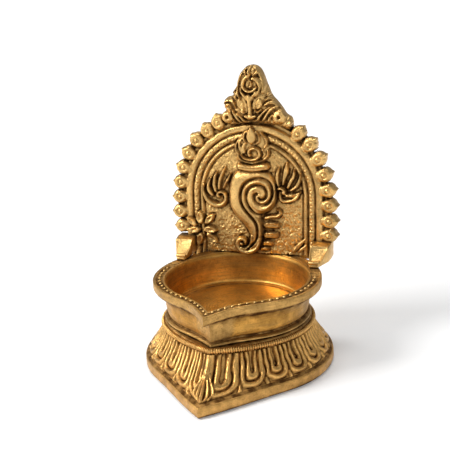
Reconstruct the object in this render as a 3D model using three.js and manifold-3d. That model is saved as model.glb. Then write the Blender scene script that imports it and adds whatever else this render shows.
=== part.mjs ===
// Low brass oil lamp with a standing back plate.
//
// A hollow pedestal, round behind and drawn out to a point in front, carries an oil bowl
// of the same plan. A stud, washer and nut under the deck hold the two together. An arched
// back plate stands on the rear of the rim on two feet, each located by a peg, and lifts
// off upwards. Units are millimetres, +Z is up, the spout points along -Y and the origin
// is under the middle of the whole footprint.

import * as THREE from 'three';
import { mergeVertices } from 'three/addons/utils/BufferGeometryUtils.js';
import Module from 'manifold-3d';

const wasm = await Module();
wasm.setup();

// ---- Driving dimensions ----

const gap = 0.3; // clearance kept between any two pieces that meet
const overcut = 1; // how far a cutting solid runs past the face it opens

// Plan of the pedestal and the bowl: side radius, and reach of the front corner.
const baseSide = 45;
const baseTip = 65;
const ledge = 1.4; // flat step between the plinth and the skirt
const ringProud = 3; // rope ring outside the bowl's neck
const ringTip = 46.6;
const bowlRadius = 33.7; // opening
const bowlFront = 32; // front of the opening without its point
const bowlSpout = 43.8; // reach of the pointed end of the opening
const neckInset = 0.5; // bowl casting just above the pedestal, inside the opening's radius
const neckTip = 43;
const rimWidth = 6.2;
const rimFront = 35.9;
const spoutLip = 8.2; // rim in front of the opening's point
const seatLand = 6.2; // flat ring round the spigot that carries the bowl

// Heights, from the floor up.
const plinthHeight = 5.1;
const ringTop = 21.6; // rope ring round the top of the pedestal
const ringHeight = 2.4;
const ringLift = 2.4; // how far the ring rises towards the front corner
const lipHeight = 0.9; // of the pedestal above its ring
const floorThickness = 2.8;
const bowlDepth = 15.2;
const rimBand = 3.6;

const pedestalWall = 4;
const cornerWall = 6.8; // the same wall, measured out along the front corner
const deckThickness = 3.2;
const spigotDepth = 3.9;

const studRadius = 3;
const studLength = 12.6;
const threadDepth = 4.6; // length of stud inside the bowl's boss
const bossWall = 3;
const washerLand = 5; // washer outside the hole for the boss
const washerThickness = 1.6;
const nutWall = 2; // from the thread to each flat
const nutHeight = 5;

const panelProud = 1.3; // plate's panel wider than the bowl's opening, each side
const springHeight = 30.2; // from the rim to where the sides turn into the arch
const crestHeight = 29; // of the finial above the arch
const plateInset = 8.3; // from the back of the rim to the ground of the relief
const plateThickness = 4.6;
const plateLean = 3.2; // degrees, backwards
const reliefHeight = 1.6;
const dropPitch = 7.5; // spacing of the pointed drops along the border
const dropRadius = 3.7; // round body of a drop
const dropLength = 8;
const dropSink = 0.9; // how far a drop overlaps the panel
const rebate = 1.4; // the plate reaches this far down behind the rim
const footWidth = 8.4;
const footToe = 15.6; // front of the feet, measured from the bowl axis
const footHeight = 8.6;
const notchRadius = 2.4; // casting gap beside the right foot
const pegRadius = 1.3;
const pegLength = 7.2;
const pegInset = 2.5; // from the front of a foot to its peg
const pegDrop = 4.6; // length of the peg below the rim

// ---- Sizes that follow from them ----

const neckSide = bowlRadius - neckInset;
const spigotRadius = neckSide - seatLand;
const ringSide = neckSide + ringProud;
const rimSide = bowlRadius + rimWidth;
const rimTip = bowlSpout + spoutLip;

const skirtTop = ringTop - ringHeight;
const pedestalTop = ringTop + lipHeight;
const bowlUnder = pedestalTop + gap;
const bowlFloor = bowlUnder + floorThickness;
const rimTop = bowlFloor + bowlDepth;
const rimUnder = rimTop - rimBand;
const spigotBottom = bowlUnder - spigotDepth;
const deckUnder = spigotBottom - gap - deckThickness;

const bossRadius = studRadius + bossWall;
const bossBottom = deckUnder + 2 * gap;
const threadTop = bossBottom + threadDepth;
const washerTop = deckUnder - gap;
const nutTop = washerTop - washerThickness - gap;
const studTop = threadTop - gap;

const standZ = rimTop + gap; // underside of the plate where it stands on the rim
const archRadius = bowlRadius + panelProud;
const springY = springHeight - gap;
const plateFace = rimSide - plateInset;
const plateBack = plateFace + plateThickness;
const footInner = Math.sqrt(bowlRadius ** 2 - footToe ** 2) + 0.1; // just outside the opening
const pegBack = footToe + pegInset;
const pegSpread = Math.sqrt((bowlRadius + rimWidth / 2) ** 2 - pegBack ** 2); // middle of the rim
const pegBottom = rimTop - pegDrop;

// ---- Solids ----

function toSolid(geometry) {
  const bare = new THREE.BufferGeometry();
  bare.setAttribute('position', geometry.getAttribute('position'));
  bare.setIndex(geometry.getIndex());
  const merged = mergeVertices(bare);
  const index = merged.getIndex().array;
  const corners = [];
  for (let i = 0; i < index.length; i += 3) {
    const [a, b, c] = index.slice(i, i + 3);
    if (a !== b && b !== c && c !== a) corners.push(a, b, c);
  }
  return new wasm.Manifold(new wasm.Mesh({
    numProp: 3,
    vertProperties: new Float32Array(merged.getAttribute('position').array),
    triVerts: new Uint32Array(corners),
  }));
}

function toGeometry(solid) {
  const mesh = solid.getMesh();
  const geometry = new THREE.BufferGeometry();
  geometry.setAttribute('position', new THREE.Float32BufferAttribute(mesh.vertProperties, 3));
  geometry.setIndex([...mesh.triVerts]);
  geometry.computeVertexNormals();
  return geometry;
}

const joined = (solids) => solids.reduce((whole, next) => whole.add(next));

function cylinder(radius, bottom, top, x = 0, y = 0, sides = 40) {
  const geometry = new THREE.CylinderGeometry(radius, radius, top - bottom, sides);
  geometry.rotateX(Math.PI / 2);
  geometry.translate(x, y, (bottom + top) / 2);
  return toSolid(geometry);
}

// Holes for the two pegs, and the sides they stand on.
const pegSides = [-1, 1];
const pegHole = (side, bottom, top) =>
  cylinder(pegRadius + gap, bottom, top, side * pegSpread, pegBack, 20);

// ---- Pointed plan shared by the pedestal and the bowl ----

const planSegments = 72;
const turned = (radius, bottom, top) => cylinder(radius, bottom, top, 0, 0, planSegments);
const cuspAngle = THREE.MathUtils.degToRad(50); // where the round starts to run to the point

// Level: z, side radius, front radius, reach of the point, sharpness of its sweep, lift.
const level = (z, side, front, tip, sharp, lift = 0) => ({ z, side, front, tip, sharp, lift });

// A turned solid whose front is drawn out to a point at each level.
function drawnOut(levels) {
  const first = levels[0];
  const last = levels[levels.length - 1];
  const profile = levels.map((l) => new THREE.Vector2(l.side, l.z));
  profile.unshift(new THREE.Vector2(0, first.z));
  profile.push(new THREE.Vector2(0, last.z));
  const geometry = new THREE.LatheGeometry(profile, planSegments);
  geometry.rotateX(Math.PI / 2);
  const position = geometry.getAttribute('position');
  for (let i = 0; i < position.count; i += 1) {
    const l = levels[(i % profile.length) - 1];
    if (!l) continue;
    const turn = (Math.floor(i / profile.length) % planSegments) / planSegments;
    const angle = 2 * Math.PI * turn;
    const offFront = Math.min(angle, 2 * Math.PI - angle);
    const bow = Math.max(0, Math.cos(offFront)) ** 2;
    const cusp = Math.max(0, 1 - offFront / cuspAngle) ** l.sharp;
    const reach = l.side + (l.front - l.side) * bow + (l.tip - l.front) * cusp;
    position.setXYZ(i, reach * Math.sin(angle), -reach * Math.cos(angle), l.z + l.lift * cusp);
  }
  return toSolid(geometry);
}

// ---- Pedestal ----

const pedestalSharp = 2.5;
const skirtFlare = 1.35; // the skirt flares towards its foot
const skirtSteps = 4;

function pedestalLevels() {
  const levels = [
    level(0, baseSide, baseSide, baseTip, pedestalSharp),
    level(plinthHeight, baseSide, baseSide, baseTip, pedestalSharp),
    level(plinthHeight + 0.2, baseSide - ledge, baseSide - ledge, baseTip - 2 * ledge, pedestalSharp),
  ];
  const skirtFoot = baseSide - ledge;
  const skirtFootTip = baseTip - 3 * ledge;
  for (let i = 0; i <= skirtSteps; i += 1) {
    const t = i / skirtSteps;
    const flare = (1 - t) ** skirtFlare;
    const side = ringSide - 1 + (skirtFoot - ringSide + 1) * flare;
    const tip = ringTip - 1.4 + (skirtFootTip - ringTip + 1.4) * flare;
    const z = plinthHeight + 0.9 + (skirtTop - plinthHeight - 0.9) * t;
    levels.push(level(z, side, side, tip, pedestalSharp, ringLift * t));
  }
  levels.push(level(skirtTop + 0.2, ringSide, ringSide, ringTip, pedestalSharp, ringLift));
  levels.push(level(ringTop, ringSide, ringSide, ringTip, pedestalSharp, ringLift));
  const inner = neckSide + 1.2;
  levels.push(level(ringTop + 0.1, inner, inner, neckTip + 1.6, pedestalSharp, ringLift));
  levels.push(level(ringTop - 0.3, inner - 0.3, inner - 0.3, neckTip + 1.3, pedestalSharp));
  levels.push(level(pedestalTop, neckSide - 1, neckSide - 1, neckTip - 3, pedestalSharp));
  return levels;
}

function pedestal() {
  const footSide = baseSide - pedestalWall;
  const footTip = baseTip - cornerWall;
  const skirtSide = footSide - ledge;
  const deckSide = ringSide - pedestalWall;
  const hollow = drawnOut([
    level(-overcut, footSide, footSide, footTip, pedestalSharp),
    level(plinthHeight, skirtSide, skirtSide, footTip - 3 * ledge, pedestalSharp),
    level(deckUnder, deckSide, deckSide, ringTip - cornerWall, pedestalSharp),
  ]);
  const recess = turned(spigotRadius + gap, spigotBottom - gap, pedestalTop + overcut);
  const hole = cylinder(bossRadius + gap, deckUnder - overcut, spigotBottom);
  return drawnOut(pedestalLevels()).subtract(hollow).subtract(recess).subtract(hole);
}

// ---- Bowl ----

const bowlSharp = 4.4;
const bellySteps = 4;

function bowlLevels() {
  const levels = [
    level(bowlUnder, neckSide - 1, neckSide - 1, neckTip - 2, bowlSharp),
    level(bowlUnder + 0.3, neckSide + 0.5, neckSide + 0.5, neckTip - 0.6, bowlSharp),
    level(bowlUnder + 1.4, neckSide + 0.5, neckSide + 0.5, neckTip - 0.6, bowlSharp),
    level(bowlUnder + 1.8, neckSide - 0.6, neckSide - 0.6, neckTip - 1, bowlSharp),
    level(bowlUnder + 2.4, neckSide - 0.6, neckSide - 0.6, neckTip - 1, bowlSharp),
  ];
  const bellyFoot = bowlUnder + 2.8;
  for (let i = 0; i <= bellySteps; i += 1) {
    const t = i / bellySteps;
    const side = neckSide + (rimSide - 1.2 - neckSide) * t * t * (3 - 2 * t);
    const front = neckSide + (rimFront + 1 - neckSide) * t;
    const z = bellyFoot + (rimUnder - 0.1 - bellyFoot) * t;
    levels.push(level(z, side, front, neckTip + t, bowlSharp));
  }
  levels.push(level(rimUnder, rimSide, rimFront, rimTip, bowlSharp));
  levels.push(level(rimTop - 0.4, rimSide, rimFront, rimTip, bowlSharp));
  levels.push(level(rimTop, rimSide - 0.4, rimFront - 0.4, rimTip - 0.6, bowlSharp));
  return levels;
}

function bowl() {
  const floorSide = bowlRadius - 2.4;
  const opening = drawnOut([
    level(bowlFloor, floorSide - 1, floorSide - 1.6, bowlSpout - 8, bowlSharp),
    level(bowlFloor + 1, floorSide, floorSide - 0.8, bowlSpout - 6, bowlSharp),
    level(rimTop - 1, bowlRadius - 0.3, bowlFront, bowlSpout - 0.4, bowlSharp),
    level(rimTop + overcut, bowlRadius, bowlFront, bowlSpout, bowlSharp),
  ]);
  const body = joined([
    drawnOut(bowlLevels()),
    turned(spigotRadius, spigotBottom, bowlUnder + 0.5),
    cylinder(bossRadius, bossBottom, spigotBottom + 0.5),
  ]);
  const threadHole = cylinder(studRadius + gap, bossBottom - overcut, threadTop);
  const pegHoles = pegSides.map((side) => pegHole(side, pegBottom - gap, rimTop + overcut));
  return body.subtract(opening).subtract(threadHole).subtract(joined(pegHoles));
}

// ---- Clamp under the deck ----

const stud = () => cylinder(studRadius, studTop - studLength, studTop, 0, 0, 28);

function washer() {
  const bottom = washerTop - washerThickness;
  const plain = cylinder(bossRadius + washerLand, bottom, washerTop);
  return plain.subtract(cylinder(studRadius + gap, bottom - overcut, washerTop + overcut));
}

function nut() {
  const bottom = nutTop - nutHeight;
  const corner = (2 * (studRadius + nutWall)) / Math.sqrt(3);
  const hex = cylinder(corner, bottom, nutTop, 0, 0, 6);
  return hex.subtract(cylinder(studRadius + gap, bottom - overcut, nutTop + overcut));
}

// ---- Back plate ----
// Drawn flat: x across, y up from the rim, thickness along z from the back to the front.

const trim = 0.8; // cast on below the sole and filed off
const archSteps = 24;
const ground = plateThickness;
const raised = ground + reliefHeight;

function slab(shape, from, to, curveSegments = 12) {
  const depth = to - from;
  const geometry = new THREE.ExtrudeGeometry(shape, { depth, bevelEnabled: false, curveSegments });
  geometry.translate(0, 0, from);
  return toSolid(geometry);
}

// Horseshoe: straight sides under a half round.
function archShape(radius, bottom = -rebate - trim) {
  const shape = new THREE.Shape();
  shape.moveTo(-radius, bottom);
  shape.lineTo(radius, bottom);
  shape.lineTo(radius, springY);
  shape.absarc(0, springY, radius, 0, Math.PI, false);
  shape.lineTo(-radius, bottom);
  return shape;
}

// A band between two arches, open at the bottom.
function archBand(outer, width, from, to) {
  const inside = archShape(outer - width, -rebate - 2 * trim);
  const opening = slab(inside, from - overcut, to + overcut, archSteps);
  return slab(archShape(outer), from, to, archSteps).subtract(opening);
}

// Petal or flame: a round-backed blade of the given length that starts at (x, y).
function blade(x, y, length, width, turn, from, to) {
  const shape = new THREE.Shape();
  shape.moveTo(0, 0);
  shape.quadraticCurveTo(length * 0.35, width * 0.9, length, 0);
  shape.quadraticCurveTo(length * 0.35, -width * 0.9, 0, 0);
  const depth = to - from;
  const geometry = new THREE.ExtrudeGeometry(shape, { depth, bevelEnabled: false, curveSegments: 5 });
  geometry.rotateZ(THREE.MathUtils.degToRad(turn));
  geometry.translate(x, y, from);
  return toSolid(geometry);
}

function disc(x, y, radius, from, to, sides = 20) {
  const geometry = new THREE.CylinderGeometry(radius, radius, to - from, sides);
  geometry.rotateX(Math.PI / 2);
  geometry.translate(x, y, (from + to) / 2);
  return toSolid(geometry);
}

// One drop of the border: round where it meets the panel and pointed outwards along +x.
function dropShape() {
  const shape = new THREE.Shape();
  const tangent = Math.acos(dropRadius / (dropLength - dropRadius));
  shape.moveTo(dropLength, 0);
  shape.absarc(dropRadius, 0, dropRadius, tangent, 2 * Math.PI - tangent, false);
  shape.lineTo(dropLength, 0);
  return shape;
}

// Pointed drops stand along the border, spaced evenly up each side and round the shoulders.
const dropBack = 0.6; // the drops stop this far short of the plate's back
const shoulder = 1.3; // radians of the arch that carry drops

function borderDrops() {
  const drops = [];
  const root = archRadius - dropSink;
  const firstY = footHeight + 2.3;
  const sideLength = springY - firstY;
  const perSide = Math.floor((sideLength + archRadius * shoulder) / dropPitch);
  for (let i = 0; i <= perSide; i += 1) {
    const along = i * dropPitch;
    const turn = Math.max(0, along - sideLength) / (archRadius + dropRadius);
    const y = Math.min(firstY + along, springY);
    for (const side of [-1, 1]) {
      const depth = raised - dropBack;
      const geometry = new THREE.ExtrudeGeometry(dropShape(), {
        depth,
        bevelEnabled: false,
        curveSegments: 8,
      });
      geometry.rotateZ(side > 0 ? turn : Math.PI - turn);
      geometry.translate(side * root * Math.cos(turn), y + root * Math.sin(turn), dropBack);
      drops.push(toSolid(geometry));
    }
  }
  return drops;
}

// Crest above the arch: a mask-like hood that narrows to a round tip.
function finial() {
  const top = springY + archRadius + crestHeight;
  const root = springY + archRadius - 3;
  const shape = new THREE.Shape();
  shape.moveTo(-20, root);
  shape.quadraticCurveTo(-19, root + 8, -14.6, root + 10);
  shape.quadraticCurveTo(-13, root + 16, -8.4, root + 20);
  shape.quadraticCurveTo(-7.4, top - 4.5, -3, top - 1.4);
  shape.quadraticCurveTo(0, top, 3, top - 1.4);
  shape.quadraticCurveTo(7.4, top - 4.5, 8.4, root + 20);
  shape.quadraticCurveTo(12, root + 16, 13.6, root + 10);
  shape.quadraticCurveTo(19, root + 8, 20, root);
  shape.lineTo(-20, root);
  return joined([
    slab(shape, 1.4, raised),
    blade(0, top - 3, 22, 5, -90, ground, raised + 1.2),
    disc(-12.6, root + 4.6, 3.6, ground, raised + 1),
    disc(12.6, root + 4.6, 3.6, ground, raised + 1),
    disc(-4.8, root + 12, 2.2, ground, raised + 0.8, 16),
    disc(4.8, root + 12, 2.2, ground, raised + 0.8, 16),
  ]);
}

// Winged conch shell in the middle of the panel.
function conch() {
  const front = raised + 2;
  const tail = new THREE.Shape();
  tail.moveTo(-11, 33);
  tail.quadraticCurveTo(-11, 22, -5, 14);
  tail.quadraticCurveTo(-1, 8, -6, 8);
  tail.quadraticCurveTo(-9, 2, -4, 0.6);
  tail.quadraticCurveTo(3, 0, 5, 8);
  tail.quadraticCurveTo(6, 16, 10, 22);
  tail.quadraticCurveTo(13, 28, 11.6, 33);
  tail.lineTo(-11, 33);
  const parts = [
    slab(tail, ground, front - 0.6, 8),
    disc(0.4, 32, 11.4, ground, front),
    disc(3.2, 31, 4, ground, front + 1),
    disc(0.4, 45.2, 7.4, ground, front - 0.8),
    blade(0.3, 42, 18.6, 17, 90, ground, front - 1),
  ];
  for (const side of [-1, 1]) {
    const hubX = side * 17;
    parts.push(disc(hubX, 29.6, 6.4, ground, raised + 1));
    for (let i = 0; i < 4; i += 1) {
      const turn = 90 - side * (i * 16 - 24);
      parts.push(blade(hubX, 30, 14.6 - 0.8 * i, 5.2, turn, ground, raised + 0.6));
    }
    parts.push(blade(side * 10, 33, 9, 8, side > 0 ? 0 : 180, ground, raised + 0.4));
  }
  for (let i = 0; i < 5; i += 1) {
    parts.push(blade(3, 21 - 4.4 * i, 8.4 - 0.7 * i, 4.4, -14, ground, raised + 0.6));
  }
  return joined(parts);
}

function flower(x, y) {
  const petals = 7;
  const parts = [disc(x, y, 1.6, ground, raised + 0.4, 12)];
  for (let i = 0; i < petals; i += 1) {
    parts.push(blade(x, y, 6.8, 3.8, 12 + (360 * i) / petals, ground, raised));
  }
  return joined(parts);
}

// A foot: its sloping front runs down to a toe on the rim, its back is flush with the plate.
function foot(side) {
  const slopeTop = plateFace - 6.4;
  const shape = new THREE.Shape();
  const sole = -rebate - trim;
  shape.moveTo(footToe, sole);
  shape.lineTo(plateBack, sole);
  shape.lineTo(plateBack, footHeight);
  shape.lineTo(slopeTop, footHeight);
  shape.lineTo(footToe + 2.2, footHeight * 0.42);
  shape.lineTo(footToe, footHeight * 0.28);
  shape.lineTo(footToe, sole);
  const geometry = new THREE.ExtrudeGeometry(shape, { depth: footWidth, bevelEnabled: false });
  geometry.rotateX(Math.PI / 2);
  geometry.rotateZ(Math.PI / 2);
  geometry.translate(side > 0 ? footInner : -footInner - footWidth, 0, standZ);
  return toSolid(geometry);
}

function backPlate() {
  const flat = joined([
    slab(archShape(archRadius), 0, ground, archSteps),
    archBand(archRadius, 3.2, 0.5, raised),
    archBand(archRadius - 4.4, 3.4, 0.5, raised - 0.4),
    archBand(archRadius - 8.6, 1.2, 0.5, raised - 0.6),
    ...borderDrops(),
    finial(),
    conch(),
    flower(-27, 11.3),
  ]);
  const geometry = toGeometry(flat);
  geometry.rotateX(Math.PI / 2);
  geometry.rotateX(THREE.MathUtils.degToRad(-plateLean));
  geometry.translate(0, plateBack, standZ);
  const cast = joined([toSolid(geometry), foot(-1), foot(1)]);

  // The underside is filed level, with a rebate that fits over the back of the rim.
  const floorBlock = new THREE.BoxGeometry(4 * archRadius, 4 * archRadius, 10);
  floorBlock.translate(0, 0, standZ - rebate - 5);
  const notch = new THREE.CylinderGeometry(notchRadius, notchRadius, 20, 16);
  notch.translate(footInner - notchRadius - 2, plateFace, standZ);
  const holeTop = pegBottom + pegLength + gap;
  return cast
    .subtract(toSolid(floorBlock))
    .subtract(turned(rimSide + gap, standZ - 10, standZ))
    .subtract(toSolid(notch))
    .subtract(joined(pegSides.map((side) => pegHole(side, standZ - overcut, holeTop))));
}

const peg = (side) =>
  cylinder(pegRadius, pegBottom, pegBottom + pegLength, side * pegSpread, pegBack, 20);

// ---- Assembly ----

const castBrass = { color: 0xb8863b, roughness: 0.34, metalness: 1 };
const turnedBrass = { color: 0xc2924a, roughness: 0.28, metalness: 1 };
const brassRod = { color: 0xc9a050, roughness: 0.25, metalness: 1 };
const steel = { color: 0x9a9a98, roughness: 0.4, metalness: 1 };

function part(name, solid, finish) {
  const mesh = new THREE.Mesh(toGeometry(solid), new THREE.MeshStandardMaterial(finish));
  mesh.name = name;
  return mesh;
}

const lamp = new THREE.Group();
lamp.add(
  part('pedestal', pedestal(), castBrass),
  part('bowl', bowl(), turnedBrass),
  part('clamp_stud', stud(), brassRod),
  part('clamp_washer', washer(), brassRod),
  part('clamp_nut', nut(), steel),
  part('back_plate', backPlate(), castBrass),
  part('left_peg', peg(-1), brassRod),
  part('right_peg', peg(1), brassRod),
);
lamp.position.y = (baseTip - baseSide) / 2;

export default lamp;
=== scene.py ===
import math

import bpy
import numpy as np
from mathutils import Matrix, Vector


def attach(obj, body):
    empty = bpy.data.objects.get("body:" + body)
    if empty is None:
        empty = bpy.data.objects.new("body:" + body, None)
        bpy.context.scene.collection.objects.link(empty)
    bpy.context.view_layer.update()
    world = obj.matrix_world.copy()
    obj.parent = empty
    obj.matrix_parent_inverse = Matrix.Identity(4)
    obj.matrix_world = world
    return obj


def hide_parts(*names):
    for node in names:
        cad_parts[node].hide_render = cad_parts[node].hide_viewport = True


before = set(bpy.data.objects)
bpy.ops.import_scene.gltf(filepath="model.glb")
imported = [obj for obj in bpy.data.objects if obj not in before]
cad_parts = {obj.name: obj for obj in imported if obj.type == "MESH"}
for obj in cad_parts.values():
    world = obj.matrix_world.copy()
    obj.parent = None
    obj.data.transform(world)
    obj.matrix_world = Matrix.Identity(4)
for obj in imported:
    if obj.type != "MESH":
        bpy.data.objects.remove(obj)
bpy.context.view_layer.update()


# ---- Pedestal ----
# A hollow sand casting, round behind and drawn out to a corner in front. Hanging lotus
# petals are chased into its flared skirt, with a pointed leaf down the front corner.

mm = 0.001
bowl_axis = np.array([0.0, 10.0, 0.0])  # the bowl's centre line in the frame
corner_angle = math.radians(50)  # where the round starts to run out to the corner
pedestal_sharp = 2.5
skirt_low = 5.9
skirt_high = 19.4
skirt_rows = 62
petal_edges = np.radians(
    [-180, -165, -150, -134, -119, -103, -87.5, -72.5, -57, -40.5, -23.5, -9.5, 0]
    + [16.5, 32.5, 49, 65.5, 82, 98, 114.5, 131, 147.5, 163.5, 180]
)


def deselect_all():
    """Nothing stays selected, so the next operator works only on its own piece."""
    if bpy.context.object and bpy.context.object.mode != "OBJECT":
        bpy.ops.object.mode_set(mode="OBJECT")
    bpy.ops.object.select_all(action="DESELECT")


def select_only(piece):
    deselect_all()
    piece.select_set(True)
    bpy.context.view_layer.objects.active = piece


def grid_piece(name, across, up):
    """A flat grid of cells, with the column and the row that each vertex stands in."""
    deselect_all()
    bpy.ops.mesh.primitive_grid_add(x_subdivisions=across, y_subdivisions=up, size=2)
    piece = bpy.context.object
    piece.name = name
    flat = np.zeros(len(piece.data.vertices) * 3)
    piece.data.vertices.foreach_get("co", flat)
    flat = flat.reshape(-1, 3)
    column = np.rint((flat[:, 0] + 1) / 2 * across).astype(int)
    row = np.rint((flat[:, 1] + 1) / 2 * up).astype(int)
    return piece, column, row


def place_skin(piece, points, stain_and_shade_values):
    """Put the vertices in place and give each its share of dark polish and painted shade."""
    piece.data.vertices.foreach_set("co", (points * mm).ravel())
    stain_and_shade = piece.data.attributes.new("stain_and_shade", "FLOAT", "POINT")
    stain_and_shade.data.foreach_set("value", stain_and_shade_values.astype(np.float32))


def drawn_out(turn, side, front, tip, z, lift, sharp):
    """Points of a plan that is round at the back and runs out to a point in front."""
    away = np.abs(turn)
    bow = np.maximum(0, np.cos(away)) ** 2
    cusp = np.maximum(0, 1 - away / corner_angle) ** sharp
    reach = side + (front - side) * bow + (tip - front) * cusp
    return np.stack(
        [reach * np.sin(turn), -reach * np.cos(turn), z + lift * cusp], axis=-1
    )


def profile(levels):
    """Rows of (side, front, tip, z, lift) from level to level of a section, without its
    last. The sixth number of a level says how many steps lead to it."""
    rows = []
    for start, end in zip(levels[:-1], levels[1:]):
        a, b, steps = np.array(start[:5]), np.array(end[:5]), end[5]
        rows += [a + (b - a) * k / steps for k in range(steps)]
    return rows


def round_at(radius, z, steps):
    """A level with no corner."""
    return (radius, radius, radius, z, 0, steps)


def face_out(points):
    """Outward normals of a wrapped sheet of points."""
    along = np.roll(points, -1, 0) - np.roll(points, 1, 0)
    across = np.roll(points, -1, 1) - np.roll(points, 1, 1)
    normal = np.cross(across, along)
    return normal / np.maximum(np.linalg.norm(normal, axis=-1, keepdims=True), 1e-9)


def rolled_sheet(name, points, stain_and_shade_field):
    """A grid closed on itself both ways, like a tyre: the whole skin of a piece that goes
    round the bowl's centre line."""
    rows, columns = points.shape[:2]
    piece, column, row = grid_piece(name, columns, rows)
    column, row = column % columns, row % rows
    place_skin(piece, points[row, column] + bowl_axis, stain_and_shade_field[row, column])
    bpy.ops.object.mode_set(mode="EDIT")
    bpy.ops.mesh.select_all(action="SELECT")
    bpy.ops.mesh.remove_doubles(threshold=1e-6)
    bpy.ops.mesh.delete_loose()
    bpy.ops.mesh.select_all(action="SELECT")
    bpy.ops.mesh.normals_make_consistent(inside=False)
    bpy.ops.object.mode_set(mode="OBJECT")
    bpy.ops.object.shade_smooth_by_angle(angle=math.radians(50))
    return piece


def blurred(field, passes):
    """The field smoothed over its neighbours on a wrapped sheet."""
    for _ in range(passes):
        field = (field + np.roll(field, 1, 0) + np.roll(field, -1, 0)) / 3
        field = (field + np.roll(field, 1, 1) + np.roll(field, -1, 1)) / 3
    return field


def ridge(position, start, end):
    """A rounded rib between two positions, 1 at its crown and 0 at its edges."""
    inside = np.clip((position - start) / (end - start), 0, 1)
    return np.sin(np.pi * inside) ** 0.45


def waver(across, along, seed):
    """The slow wander of a line chased by hand."""
    wander = np.random.default_rng(seed)
    total = 0
    for _ in range(5):
        pace_a, pace_b = wander.uniform(0.25, 1.1, 2)
        start_a, start_b = wander.uniform(0, 2 * math.pi, 2)
        total = total + np.sin(across * pace_a + start_a) * np.sin(along * pace_b + start_b)
    return total / 2.2


def skirt_at(share):
    """Side, tip and height of the flared skirt, from its foot at 0 to its neck at 1."""
    flare = (1 - share) ** 1.35
    side = 35.2 + (43.4 - 35.2) * flare
    tip = 45.2 + (61.8 - 45.2) * flare
    return [side, side, tip, skirt_low + (skirt_high - skirt_low) * share, 2.4 * share]


def add_node(tree, kind, output, inputs, **settings):
    """A new node with its settings and inputs filled in; gives one of its outputs."""
    node = tree.nodes.new("ShaderNode" + kind)
    for key, value in settings.items():
        setattr(node, key, value)
    for key, value in inputs.items():
        if isinstance(value, bpy.types.NodeSocket):
            tree.links.new(value, node.inputs[key])
        else:
            node.inputs[key].default_value = value
    return node.outputs[output]


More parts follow.
